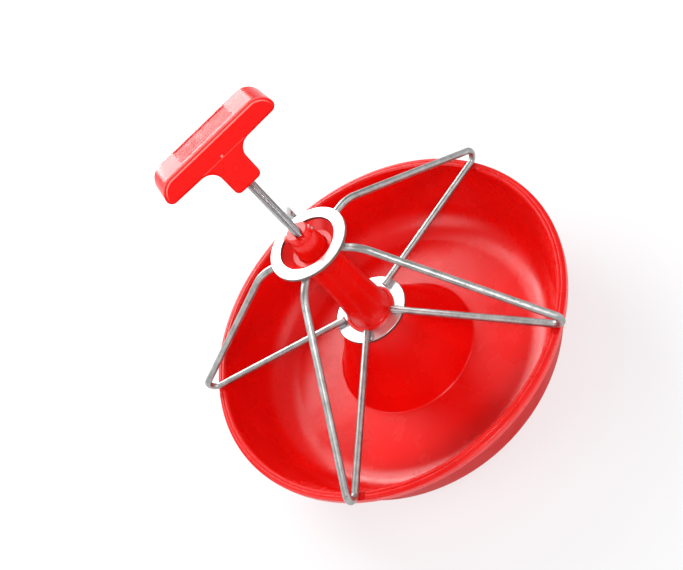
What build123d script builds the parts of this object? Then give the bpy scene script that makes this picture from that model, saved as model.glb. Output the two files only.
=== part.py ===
from build123d import *
import math
import os

# Piglet feeder: a round red pan with a hollow central cone, a five-arm wire
# spider between two flat rings, a spring housing in the middle, and a
# T-handled draw rod that carries a turning anchor under the pan.
# Millimetres, +Z up, origin on the floor at the centre of the pan.

# ---------------------------------------------------------------- pan
PAN_RIM_R = 140.0        # outer edge of the rolled rim
PAN_H = 65.0             # floor to top of rim
PAN_WALL_T = 3.2         # wall and floor thickness
PAN_FLOOR_Z = 4.0        # top face of the trough floor
PAN_FILLET_CR = 99.6     # centre radius of the floor-to-wall curve
PAN_FILLET_CZ = 30.8     # centre height of the floor-to-wall curve
PAN_FILLET_IN = 26.8     # inside radius of that curve
PAN_WALL_TILT = 12.6     # wall lean from vertical, degrees
RIM_UNDER_Z = 58.8       # underside of the rim bead
CONE_TOP_R = 22.3        # flat top of the central cone
CONE_TOP_Z = 61.8
CONE_BASE_R = 57.4       # where the cone meets the floor
CONE_HOLE_R = 9.0        # locating hole in the top of the cone
NOTCH_DEPTH = 0.8        # seat for each arm in the rim
NOTCH_HALF = 5.5

# ---------------------------------------------------------------- spider
WIRE_R = 2.5             # 5 mm round wire
ARM_COUNT = 5
ARM_AZ0 = 18.0           # azimuth of the first arm, degrees; one arm points along +Y
ARM_TIP_R = 144.6        # outermost reach of the wire
ARM_BEND_R = 6.0         # centre-line bend radius at the tip
ARM_IN_R = 20.0          # inner end on the lower ring
ARM_LOW_IN_Z = 66.86     # wire centre on the lower ring
ARM_LOW_OUT_Z = 66.7     # wire centre in the rim seat
ARM_SHOULDER_R = 31.3    # centre radius of the shoulder bend
ARM_SHOULDER_BEND = 25.0
ARM_TOP_Z = 146.3        # wire centre under the upper ring
ARM_TOP_IN_R = 23.5
RING_R = 28.0            # both rings, outer radius
LOW_RING_HOLE = 17.5
LOW_RING_Z0 = 61.8
LOW_RING_T = 2.5
UP_RING_HOLE = 20.0
UP_RING_Z0 = 148.8
UP_RING_T = 2.2

# ---------------------------------------------------------------- housing
HOUSING_BORE = 10.8
HOUSING_FLOOR_Z = 70.0
HOUSING_LEDGE_Z = 144.5
HOUSING_LEDGE_R = 14.4
HOUSING_MOUTH_R = 20.0
SPIGOT_R = 8.9            # lower spigot, in the hole of the cone
SPIGOT_UP_R = 17.3        # upper spigot, in the hole of the lower ring
FOOT_R = 19.2             # foot flange, bears on the lower ring

# ---------------------------------------------------------------- moving group
ROD_R = 2.95             # M6 rod over the thread
ROD_Z0 = 2.0
ROD_Z1 = 236.0
GUIDE_R = 3.02           # running fit of the rod
COLLAR_R = 10.5
COLLAR_Z0 = 133.0
COLLAR_TOP_Z = 163.5
PIN_R = 1.25
PIN_HALF = 10.0
PIN_Z = 160.4
PIN_AZ = -24.6
WASHER_T = 1.4
SPRING_MEAN_R = 8.2
SPRING_WIRE_R = 1.0
SPRING_COILS = 9.0
HANDLE_L = 76.6          # across the grip
HANDLE_T = 19.0          # front to back, between the two faces
HANDLE_FACE_T = 0.8      # each face is a flat panel this much proud
HANDLE_FACE_IN = 1.6     # and this far inside the outline
HANDLE_Z0 = 215.4        # underside of the stem
HANDLE_BAR_Z0 = 238.0    # underside of the grip
HANDLE_Z1 = 251.5        # top of the grip
HANDLE_AZ = 2.4
STEM_HALF = 9.1
ANCHOR_L = 62.0
ANCHOR_W = 11.0
ANCHOR_T = 4.0
ANCHOR_Z0 = 8.0
NUT_AF = 10.0
NUT_H = 5.0
STOP_GAP = 0.3           # under the cone's top plate
STOP_WASHER_R = 14.0
STOP_WASHER_T = 1.5

os.makedirs("parts", exist_ok=True)


def save(node, shape):
    shape.label = node
    export_step(shape, "parts/" + node + ".step")


def turn(profile):
    """Solid of revolution about Z from a closed face in the XZ plane."""
    return revolve(profile, Axis.Z, 360)


def xz(*pts):
    return [Vector(p[0], 0, p[1]) for p in pts]


def poly_face(pts):
    return make_face(Polyline(*xz(*pts), close=True))


# ================================================================ pan
tilt = math.radians(PAN_WALL_TILT)
ct, st = math.cos(tilt), math.sin(tilt)
cr, cz = PAN_FILLET_CR, PAN_FILLET_CZ
r_in, r_out = PAN_FILLET_IN, PAN_FILLET_IN + PAN_WALL_T


def on_arc(r, deg):
    a = math.radians(deg)
    return (cr + r * math.cos(a), cz + r * math.sin(a))


in_end = on_arc(r_in, -PAN_WALL_TILT)
out_end = on_arc(r_out, -PAN_WALL_TILT)


def wall_r(base, z):
    return base[0] + (z - base[1]) * math.tan(tilt)


under_z = PAN_FLOOR_Z - PAN_WALL_T
cone_slope = (CONE_BASE_R - CONE_TOP_R) / (CONE_TOP_Z - PAN_FLOOR_Z)
cone_under_top_z = CONE_TOP_Z - 3.0
# inside of the cone: parallel to the outside, about 3 mm in
in_off = 3.0 * math.hypot(1, cone_slope)
cone_in_top_r = CONE_TOP_R - in_off + 3.0 * cone_slope
cone_in_bot_r = CONE_BASE_R - in_off + (PAN_FLOOR_Z - 0.0) * cone_slope

zi = 62.6                                  # inner wall meets the rim bead
ri = wall_r(in_end, zi)
ro = wall_r(out_end, RIM_UNDER_Z)
e = []
e.append(Line(*xz((CONE_HOLE_R, cone_under_top_z), (CONE_HOLE_R, CONE_TOP_Z))))
e.append(Line(*xz((CONE_HOLE_R, CONE_TOP_Z), (CONE_TOP_R - 1.6, CONE_TOP_Z))))
e.append(ThreePointArc(*xz((CONE_TOP_R - 1.6, CONE_TOP_Z),
                           (CONE_TOP_R - 0.35, CONE_TOP_Z - 0.45),
                           (CONE_TOP_R + 1.5 * cone_slope - 0.05, CONE_TOP_Z - 1.6))))
e.append(Line(*xz((CONE_TOP_R + 1.5 * cone_slope - 0.05, CONE_TOP_Z - 1.6),
                  (CONE_BASE_R - 1.5 * cone_slope, PAN_FLOOR_Z + 1.5))))
e.append(ThreePointArc(*xz((CONE_BASE_R - 1.5 * cone_slope, PAN_FLOOR_Z + 1.5),
                           (CONE_BASE_R + 0.15, PAN_FLOOR_Z + 0.42),
                           (CONE_BASE_R + 1.9, PAN_FLOOR_Z))))
e.append(Line(*xz((CONE_BASE_R + 1.9, PAN_FLOOR_Z), (cr, PAN_FLOOR_Z))))
e.append(ThreePointArc(*xz((cr, cz - r_in), on_arc(r_in, -45), in_end)))
e.append(Line(*xz(in_end, (ri, zi))))
e.append(ThreePointArc(*xz((ri, zi), (ri + 0.75, PAN_H - 0.75), (ri + 2.6, PAN_H))))
e.append(Line(*xz((ri + 2.6, PAN_H), (PAN_RIM_R - 3.0, PAN_H))))
e.append(ThreePointArc(*xz((PAN_RIM_R - 3.0, PAN_H), (PAN_RIM_R - 0.8787, PAN_H - 0.8787),
                           (PAN_RIM_R, PAN_H - 3.0))))
e.append(Line(*xz((PAN_RIM_R, PAN_H - 3.0), (PAN_RIM_R, RIM_UNDER_Z + 0.8))))
e.append(ThreePointArc(*xz((PAN_RIM_R, RIM_UNDER_Z + 0.8),
                           (PAN_RIM_R - 0.24, RIM_UNDER_Z + 0.24),
                           (PAN_RIM_R - 0.8, RIM_UNDER_Z))))
e.append(Line(*xz((PAN_RIM_R - 0.8, RIM_UNDER_Z), (ro, RIM_UNDER_Z))))
e.append(Line(*xz((ro, RIM_UNDER_Z), out_end)))
e.append(ThreePointArc(*xz(out_end, on_arc(r_out, -45), (cr, under_z))))
# two low foot rings under the floor
e.append(Line(*xz((cr, under_z), (cr - 1.0, under_z))))
e.append(Line(*xz((cr - 1.0, under_z), (cr - 1.6, 0))))
e.append(Line(*xz((cr - 1.6, 0), (cr - 5.0, 0))))
e.append(Line(*xz((cr - 5.0, 0), (cr - 5.6, under_z))))
e.append(Line(*xz((cr - 5.6, under_z), (66.0, under_z))))
e.append(Line(*xz((66.0, under_z), (65.4, 0))))
e.append(Line(*xz((65.4, 0), (cone_in_bot_r, 0))))
e.append(Line(*xz((cone_in_bot_r, 0), (cone_in_top_r, cone_under_top_z))))
e.append(Line(*xz((cone_in_top_r, cone_under_top_z), (CONE_HOLE_R, cone_under_top_z))))
pan = turn(make_face(Wire(e)))

# arm seats in the rim
for k in range(ARM_COUNT):
    seat = Plane.YZ * make_face(Polyline(
        (-NOTCH_HALF - 1.2, PAN_H + 1.0), (-NOTCH_HALF, PAN_H - 0.3),
        (-NOTCH_HALF + 0.9, PAN_H - NOTCH_DEPTH), (NOTCH_HALF - 0.9, PAN_H - NOTCH_DEPTH),
        (NOTCH_HALF, PAN_H - 0.3), (NOTCH_HALF + 1.2, PAN_H + 1.0), close=True))
    cutter = Pos(125, 0, 0) * extrude(seat, 22)
    pan = pan - Rot(0, 0, ARM_AZ0 - 72 * k) * cutter
save("pan", pan)

# ================================================================ rings
lower_ring = Pos(0, 0, LOW_RING_Z0) * extrude(Circle(RING_R) - Circle(LOW_RING_HOLE), LOW_RING_T)
lower_ring = fillet(lower_ring.edges().filter_by(GeomType.CIRCLE), 0.4)
save("lower_ring", lower_ring)
upper_ring = Pos(0, 0, UP_RING_Z0) * extrude(Circle(RING_R) - Circle(UP_RING_HOLE), UP_RING_T)
upper_ring = fillet(upper_ring.edges().filter_by(GeomType.CIRCLE), 0.4)
save("upper_ring", upper_ring)


# ================================================================ arms
def tangent_point(px, pz, cx, cz_, r, side):
    """Tangent point on a circle seen from an outside point."""
    dx, dz = px - cx, pz - cz_
    d = math.hypot(dx, dz)
    a = math.atan2(dz, dx) + side * math.acos(r / d)
    return (cx + r * math.cos(a), cz_ + r * math.sin(a), a)


bend_c = (ARM_TIP_R - WIRE_R - ARM_BEND_R, ARM_LOW_OUT_Z + ARM_BEND_R)
low_start = (ARM_IN_R, ARM_LOW_IN_Z)
t_low = tangent_point(low_start[0], low_start[1], bend_c[0], bend_c[1], ARM_BEND_R, +1)
# centre of the shoulder bend: below the horizontal run, tangent to it
sh_c = (ARM_SHOULDER_R, ARM_TOP_Z - ARM_SHOULDER_BEND)
# common outside tangent of the tip bend and the shoulder bend
dx, dz = bend_c[0] - sh_c[0], bend_c[1] - sh_c[1]
dist = math.hypot(dx, dz)
base = math.atan2(dz, dx)
phi = base + math.acos((ARM_SHOULDER_BEND - ARM_BEND_R) / dist)
nrm = (math.cos(phi), math.sin(phi))
t_up = (bend_c[0] + ARM_BEND_R * nrm[0], bend_c[1] + ARM_BEND_R * nrm[1])
t_sh = (sh_c[0] + ARM_SHOULDER_BEND * nrm[0], sh_c[1] + ARM_SHOULDER_BEND * nrm[1])
sh_top = (sh_c[0], ARM_TOP_Z)
mid_a = (phi + math.pi / 2) / 2
sh_mid = (sh_c[0] + ARM_SHOULDER_BEND * math.cos(mid_a), sh_c[1] + ARM_SHOULDER_BEND * math.sin(mid_a))
apex_a = (t_low[2] + phi) / 2 if t_low[2] < phi else (t_low[2] - 2 * math.pi + phi) / 2
apex = (bend_c[0] + ARM_BEND_R * math.cos(apex_a), bend_c[1] + ARM_BEND_R * math.sin(apex_a))
path = Wire([
    Line(*xz(low_start, t_low[:2])),
    ThreePointArc(*xz(t_low[:2], apex, t_up)),
    Line(*xz(t_up, t_sh)),
    ThreePointArc(*xz(t_sh, sh_mid, sh_top)),
    Line(*xz(sh_top, (ARM_TOP_IN_R, ARM_TOP_Z))),
])
start_dir = path % 0
arm = sweep(Plane(origin=path @ 0, z_dir=start_dir) * Circle(WIRE_R), path)
for k in range(ARM_COUNT):
    save("spider_arm_%d" % (k + 1), Rot(0, 0, ARM_AZ0 - 72 * k) * arm)

# one weld bead along each wire end, resting on the ring faces
def bead(r0, r1, y, z, r):
    b = Pos((r0 + r1) / 2, y, z) * (Rot(0, 90, 0) * Cylinder(r, r1 - r0))
    return b + Pos(r0, y, z) * Sphere(r) + Pos(r1, y, z) * Sphere(r)


low_top = LOW_RING_Z0 + LOW_RING_T
low_bead = bead(21.9, 26.0, 2.9, low_top + 0.3, 1.65) - Pos(24, 2.9, low_top - 5) * Box(30, 20, 10) - arm
up_bead = bead(23.6, 25.8, 2.9, UP_RING_Z0 - 0.35, 1.7) - Pos(24, 2.9, UP_RING_Z0 + 5) * Box(30, 20, 10) - arm
low_beads = [Rot(0, 0, ARM_AZ0 - 72 * k) * low_bead for k in range(ARM_COUNT)]
up_beads = [Rot(0, 0, ARM_AZ0 - 72 * k) * up_bead for k in range(ARM_COUNT)]


def group(parts):
    solids = []
    for p in parts:
        solids += list(p.solids())
    return Compound(children=[Solid(s.wrapped) for s in solids])


save("lower_weld_beads", group(low_beads))
save("upper_weld_beads", group(up_beads))

# ================================================================ spring housing
h = []
z_top = UP_RING_Z0
h.append(Line(*xz((SPIGOT_R, CONE_TOP_Z - 3.0), (SPIGOT_R, CONE_TOP_Z))))
foot_z = LOW_RING_Z0 + LOW_RING_T
h.append(Line(*xz((SPIGOT_R, CONE_TOP_Z), (SPIGOT_UP_R, CONE_TOP_Z))))
h.append(Line(*xz((SPIGOT_UP_R, CONE_TOP_Z), (SPIGOT_UP_R, foot_z))))
h.append(Line(*xz((SPIGOT_UP_R, foot_z), (FOOT_R - 0.2, foot_z))))
h.append(Line(*xz((FOOT_R - 0.2, foot_z), (FOOT_R, foot_z + 0.9))))
h.append(ThreePointArc(*xz((FOOT_R, foot_z + 0.9), (FOOT_R - 0.45, foot_z + 1.75), (FOOT_R - 1.3, foot_z + 2.1))))
h.append(ThreePointArc(*xz((FOOT_R - 1.3, foot_z + 2.1), (16.8, foot_z + 3.2), (16.2, foot_z + 5.0))))
h.append(ThreePointArc(*xz((16.2, foot_z + 5.0), (14.15, 93.0), (13.4, 124.0))))
h.append(ThreePointArc(*xz((13.4, 124.0), (15.3, 138.2), (21.0, z_top - 1.4))))
h.append(ThreePointArc(*xz((21.0, z_top - 1.4), (21.4, z_top - 0.8), (21.2, z_top))))
h.append(Line(*xz((21.2, z_top), (HOUSING_MOUTH_R, z_top))))
h.append(Line(*xz((HOUSING_MOUTH_R, z_top), (HOUSING_LEDGE_R, HOUSING_LEDGE_Z))))
h.append(Line(*xz((HOUSING_LEDGE_R, HOUSING_LEDGE_Z), (HOUSING_BORE, HOUSING_LEDGE_Z))))
h.append(Line(*xz((HOUSING_BORE, HOUSING_LEDGE_Z), (HOUSING_BORE, HOUSING_FLOOR_Z))))
h.append(Line(*xz((HOUSING_BORE, HOUSING_FLOOR_Z), (GUIDE_R, HOUSING_FLOOR_Z))))
h.append(Line(*xz((GUIDE_R, HOUSING_FLOOR_Z), (GUIDE_R, CONE_TOP_Z - 3.0))))
h.append(Line(*xz((GUIDE_R, CONE_TOP_Z - 3.0), (SPIGOT_R, CONE_TOP_Z - 3.0))))
housing = turn(make_face(Wire(h)))
save("spring_housing", housing)

# ================================================================ spring and its seats
lower_washer = Pos(0, 0, HOUSING_FLOOR_Z) * extrude(Circle(10.2) - Circle(3.4), WASHER_T)
save("lower_spring_seat", lower_washer)
upper_washer = Pos(0, 0, COLLAR_Z0 - WASHER_T) * extrude(Circle(10.2) - Circle(3.4), WASHER_T)
save("upper_spring_seat", upper_washer)

sp_z0 = HOUSING_FLOOR_Z + WASHER_T
sp_z1 = COLLAR_Z0 - WASHER_T
sp_h = sp_z1 - sp_z0 - 2 * SPRING_WIRE_R
helix = Helix(pitch=sp_h / SPRING_COILS, height=sp_h, radius=SPRING_MEAN_R,
              center=(0, 0, sp_z0 + SPRING_WIRE_R))
spring = sweep(Plane(origin=helix @ 0, z_dir=helix % 0) * Circle(SPRING_WIRE_R), helix, is_frenet=True)
save("compression_spring", spring)

# ================================================================ draw rod
rod = Pos(0, 0, ROD_Z0) * extrude(Circle(ROD_R), ROD_Z1 - ROD_Z0)
rod = chamfer(rod.edges().filter_by(GeomType.CIRCLE), 0.6)
pin_cut = Rot(0, 0, PIN_AZ) * (Pos(0, 0, PIN_Z) * (Rot(0, 90, 0) * Cylinder(PIN_R, 40)))
rod = rod - pin_cut
save("draw_rod", rod)

# ================================================================ collar
c = []
c.append(Line(*xz((GUIDE_R, COLLAR_Z0), (COLLAR_R - 0.5, COLLAR_Z0))))
c.append(Line(*xz((COLLAR_R - 0.5, COLLAR_Z0), (COLLAR_R, COLLAR_Z0 + 0.5))))
c.append(Line(*xz((COLLAR_R, COLLAR_Z0 + 0.5), (COLLAR_R, 145.0))))
c.append(ThreePointArc(*xz((COLLAR_R, 145.0), (9.9, 151.2), (8.1, 157.0))))
c.append(Line(*xz((8.1, 157.0), (7.7, COLLAR_TOP_Z - 0.8))))
c.append(ThreePointArc(*xz((7.7, COLLAR_TOP_Z - 0.8), (7.45, COLLAR_TOP_Z - 0.23), (6.9, COLLAR_TOP_Z))))
c.append(Line(*xz((6.9, COLLAR_TOP_Z), (GUIDE_R, COLLAR_TOP_Z))))
c.append(Line(*xz((GUIDE_R, COLLAR_TOP_Z), (GUIDE_R, COLLAR_Z0))))
collar = turn(make_face(Wire(c)))
# two short ears that carry the pin
ear = Box(2 * 9.7, 4.4, 4.4)
ear = fillet(ear.edges().filter_by(Axis.X), 0.9)
ear = Rot(0, 0, PIN_AZ) * (Pos(0, 0, PIN_Z) * ear)
collar = collar + (ear - Pos(0, 0, PIN_Z) * Cylinder(5.0, 10))
# slot across the top, open towards the front and back, leaves two lobes
collar = collar - Pos(0, 0, COLLAR_TOP_Z) * Box(4.6, 20, 2 * 2.6)
collar = collar - Pos(0, 0, 150) * Cylinder(GUIDE_R, 60) - pin_cut
save("spring_collar", collar)

pin = Rot(0, 0, PIN_AZ) * (Pos(0, 0, PIN_Z) * (Rot(0, 90, 0) * Cylinder(PIN_R - 0.02, 2 * PIN_HALF)))
pin = chamfer(pin.edges().filter_by(GeomType.CIRCLE), 0.3)
save("collar_pin", pin)

# ================================================================ T-handle
hl = HANDLE_L / 2
zb, zt = HANDLE_BAR_Z0, HANDLE_Z1
sb = 3.4                      # corner radius at the foot of the stem
sk = sb * (1 - math.sqrt(0.5))
prof = [
    Line(*xz((-STEM_HALF + sb, HANDLE_Z0), (STEM_HALF - sb, HANDLE_Z0))),
    ThreePointArc(*xz((STEM_HALF - sb, HANDLE_Z0), (STEM_HALF - sk, HANDLE_Z0 + sk), (STEM_HALF, HANDLE_Z0 + sb))),
    Line(*xz((STEM_HALF, HANDLE_Z0 + sb), (STEM_HALF, zb - 8.0))),
    ThreePointArc(*xz((STEM_HALF, zb - 8.0), (STEM_HALF + 2.34, zb - 2.34), (STEM_HALF + 8.0, zb))),
    Line(*xz((STEM_HALF + 8.0, zb), (hl - 3.4, zb + 0.4))),
    ThreePointArc(*xz((hl - 3.4, zb + 0.4), (hl - 0.9, zb + 1.6), (hl, zb + 4.2))),
    ThreePointArc(*xz((hl, zb + 4.2), (hl - 3.3, zt - 3.0), (hl - 11.0, zt))),
    Line(*xz((hl - 11.0, zt), (-hl + 11.0, zt))),
    ThreePointArc(*xz((-hl + 11.0, zt), (-hl + 3.3, zt - 3.0), (-hl, zb + 4.2))),
    ThreePointArc(*xz((-hl, zb + 4.2), (-hl + 0.9, zb + 1.6), (-hl + 3.4, zb + 0.4))),
    Line(*xz((-hl + 3.4, zb + 0.4), (-STEM_HALF - 8.0, zb))),
    ThreePointArc(*xz((-STEM_HALF - 8.0, zb), (-STEM_HALF - 2.34, zb - 2.34), (-STEM_HALF, zb - 8.0))),
    Line(*xz((-STEM_HALF, zb - 8.0), (-STEM_HALF, HANDLE_Z0 + sb))),
    ThreePointArc(*xz((-STEM_HALF, HANDLE_Z0 + sb), (-STEM_HALF + sk, HANDLE_Z0 + sk), (-STEM_HALF + sb, HANDLE_Z0))),
]
face = make_face(Wire(prof))
handle = extrude(face, HANDLE_T / 2, both=True)
outer = handle.edges().group_by(Axis.Y)
handle = fillet(list(outer[0]) + list(outer[-1]), 0.9)
# the two faces stand a little proud, inside the outline
panel = extrude(offset(face, amount=-HANDLE_FACE_IN), HANDLE_T / 2 + HANDLE_FACE_T, both=True)
handle = handle + panel
# shallow panel in the top of the grip
handle = handle - Pos(-0.2, 0.3, zt) * Box(36.6, 14.2, 1.4)
# socket for the rod, shadow recess below and the captive nut pocket
handle = handle - Pos(0, 0, (HANDLE_Z0 + ROD_Z1) / 2) * Cylinder(3.0, ROD_Z1 - HANDLE_Z0)
handle = handle - Pos(0, 0, HANDLE_Z0 + 0.8) * Cylinder(4.4, 3.2)
nut_pocket = Pos(0, 0, 226.0) * extrude(RegularPolygon(NUT_AF / 2, 6, major_radius=False), NUT_H)
handle = handle - nut_pocket
handle = Rot(0, 0, HANDLE_AZ) * handle
save("t_handle", handle)


def hex_nut(z0):
    n = Pos(0, 0, z0) * extrude(RegularPolygon(NUT_AF / 2, 6, major_radius=False) - Circle(2.98), NUT_H)
    cone = Pos(0, 0, z0 + NUT_H / 2) * Cylinder(NUT_AF / 2 + 0.55, NUT_H)
    cone = chamfer(cone.edges().filter_by(GeomType.CIRCLE), 0.5)
    return n & cone


save("handle_nut", Rot(0, 0, HANDLE_AZ) * hex_nut(226.0))

# ================================================================ rest stop under the cone
stop_z1 = cone_under_top_z - STOP_GAP
stop_washer = Pos(0, 0, stop_z1 - STOP_WASHER_T) * extrude(Circle(STOP_WASHER_R) - Circle(3.15), STOP_WASHER_T)
save("stop_washer", stop_washer)
save("stop_nut", hex_nut(stop_z1 - STOP_WASHER_T - NUT_H))

# ================================================================ anchor
bar = Pos(0, 0, ANCHOR_Z0 + ANCHOR_T / 2) * Box(ANCHOR_L, ANCHOR_W, ANCHOR_T)
tip = Box(ANCHOR_T, ANCHOR_W, 5.0)
bar = bar + Pos(ANCHOR_L / 2 - ANCHOR_T / 2, 0, ANCHOR_Z0 + ANCHOR_T + 2.5) * tip
bar = bar + Pos(-ANCHOR_L / 2 + ANCHOR_T / 2, 0, ANCHOR_Z0 + ANCHOR_T + 2.5) * tip
bar = fillet(bar.edges().filter_by(Axis.Y).filter_by_position(Axis.Z, ANCHOR_Z0 - 0.1, ANCHOR_Z0 + 0.1), 2.4)
bar = bar - Pos(0, 0, ANCHOR_Z0) * Cylinder(3.15, 30)
bar = Rot(0, 0, HANDLE_AZ) * bar
save("anchor_bar", bar)
save("anchor_nuts", group([hex_nut(ANCHOR_Z0 - NUT_H), hex_nut(ANCHOR_Z0 + ANCHOR_T)]))
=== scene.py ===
import math
import random

import bmesh
import bpy
import numpy as np
from mathutils import Matrix, Vector


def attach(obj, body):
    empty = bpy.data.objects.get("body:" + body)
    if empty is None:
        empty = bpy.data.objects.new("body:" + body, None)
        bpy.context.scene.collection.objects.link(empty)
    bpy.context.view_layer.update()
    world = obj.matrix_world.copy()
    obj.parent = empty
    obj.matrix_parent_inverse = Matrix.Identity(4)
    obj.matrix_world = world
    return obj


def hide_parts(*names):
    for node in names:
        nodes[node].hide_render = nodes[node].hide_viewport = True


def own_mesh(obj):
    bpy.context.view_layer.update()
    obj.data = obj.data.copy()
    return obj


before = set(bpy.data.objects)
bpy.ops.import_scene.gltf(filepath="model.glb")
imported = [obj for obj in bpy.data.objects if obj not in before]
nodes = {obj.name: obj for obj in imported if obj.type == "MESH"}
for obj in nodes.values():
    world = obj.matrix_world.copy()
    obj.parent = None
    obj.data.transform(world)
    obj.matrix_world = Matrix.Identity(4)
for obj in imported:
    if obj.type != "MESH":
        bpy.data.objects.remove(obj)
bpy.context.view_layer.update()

MM = 0.001
rng = np.random.default_rng(7)

# ------------------------------------------------------------------ dimensions, mm
ARM_AZ = [18.0 - 72.0 * k for k in range(5)]
PAN_H = 65.0
LOW_TOP = 64.3
UP_Z0, UP_Z1 = 148.8, 151.0
HANDLE_AZ = math.radians(2.4)
PIN_AZ = math.radians(-24.6)


# ------------------------------------------------------------------ mesh helpers
def link(ob):
    bpy.context.scene.collection.objects.link(ob)
    return ob


def make(name, verts, faces, sharp=35.0, uvs=None):
    """Mesh object from millimetre vertices. uvs is one (u, v) per face corner."""
    me = bpy.data.meshes.new(name)
    me.from_pydata([tuple(float(c) * MM for c in v) for v in verts], [], [tuple(int(i) for i in f) for f in faces])
    me.update()
    if uvs is not None:
        lay = me.uv_layers.new(name="UVMap")
        lay.data.foreach_set("uv", np.asarray(uvs, np.float32).ravel())
    me.polygons.foreach_set("use_smooth", [True] * len(me.polygons))
    if sharp:
        me.set_sharp_from_angle(angle=math.radians(sharp))
    ob = link(bpy.data.objects.new(name, me))
    return ob


def arc(cx, cz, r, a0, a1, n):
    return [(cx + r * math.cos(math.radians(a0 + (a1 - a0) * i / n)),
             cz + r * math.sin(math.radians(a0 + (a1 - a0) * i / n))) for i in range(n + 1)]


def rounded(pts, closed=True, seg=5):
    """pts are (r, z, fillet radius). Each corner is replaced by an arc."""
    out = []
    n = len(pts)
    for i, p in enumerate(pts):
        rad = p[2] if len(p) > 2 else 0
        if not closed and i in (0, n - 1) or rad <= 0:
            out.append((p[0], p[1]))
            continue
        a = np.array(pts[i - 1][:2], float)
        b = np.array(p[:2], float)
        c = np.array(pts[(i + 1) % n][:2], float)
        u, v = (a - b), (c - b)
        lu, lv = np.linalg.norm(u), np.linalg.norm(v)
        u, v = u / lu, v / lv
        ang = math.acos(max(-1, min(1, float(u @ v))))
        if abs(math.pi - ang) < 0.02:
            out.append(tuple(b))
            continue
        t = min(rad / math.tan(ang / 2), lu * 0.49, lv * 0.49)
        r = t * math.tan(ang / 2)
        bis = (u + v) / np.linalg.norm(u + v)
        cen = b + bis * (r / math.sin(ang / 2))
        p0, p1 = b + u * t - cen, b + v * t - cen
        a0, a1 = math.atan2(p0[1], p0[0]), math.atan2(p1[1], p1[0])
        d = (a1 - a0 + math.pi) % (2 * math.pi) - math.pi
        for k in range(seg + 1):
            w = a0 + d * k / seg
            out.append((float(cen[0] + r * math.cos(w)), float(cen[1] + r * math.sin(w))))
    return out


def densify(pts, step, closed=True):
    out = []
    n = len(pts)
    for i in range(n if closed else n - 1):
        a, b = np.array(pts[i]), np.array(pts[(i + 1) % n])
        k = max(1, int(math.ceil(np.linalg.norm(b - a) / step)))
        for j in range(k):
            out.append(tuple(a + (b - a) * j / k))
    if not closed:
        out.append(tuple(pts[-1]))
    return out


def lathe(name, prof, thetas=128, closed=True, warp=None, sharp=35.0, axis="z"):
    """Revolves a profile of (r, z) in mm. thetas is a count or a list of angles in radians."""
    th = np.linspace(0, 2 * math.pi, thetas, endpoint=False) if isinstance(thetas, int) else np.asarray(thetas)
    P = np.array(prof, float)
    m, n = len(th), len(P)
    verts = np.zeros((m, n, 3))
    verts[:, :, 0] = np.cos(th)[:, None] * P[:, 0][None]
    verts[:, :, 1] = np.sin(th)[:, None] * P[:, 0][None]
    verts[:, :, 2] = P[:, 1][None]
    if warp is not None:
        verts = warp(verts, th)
    seg = np.concatenate([[0], np.cumsum(np.linalg.norm(np.diff(np.vstack([P, P[:1]]), axis=0), axis=1))])
    faces, uvs = [], []
    for i in range(m):
        i2 = (i + 1) % m
        for j in range(n if closed else n - 1):
            j2 = (j + 1) % n
            faces.append((i * n + j, i2 * n + j, i2 * n + j2, i * n + j2))
            u0, u1 = i / m, (i + 1) / m
            uvs += [(u0, seg[j] * 0.01), (u1, seg[j] * 0.01), (u1, seg[j + 1] * 0.01), (u0, seg[j + 1] * 0.01)]
    vv = verts.reshape(-1, 3)
    if axis == "x":
        vv = vv[:, [2, 0, 1]]
    ob = make(name, vv, faces, sharp, uvs)
    fix_normals(ob)
    return ob


def fix_normals(ob):
    bm = bmesh.new()
    bm.from_mesh(ob.data)
    bmesh.ops.recalc_face_normals(bm, faces=bm.faces)
    bm.to_mesh(ob.data)
    bm.free()
    ob.data.update()


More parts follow.
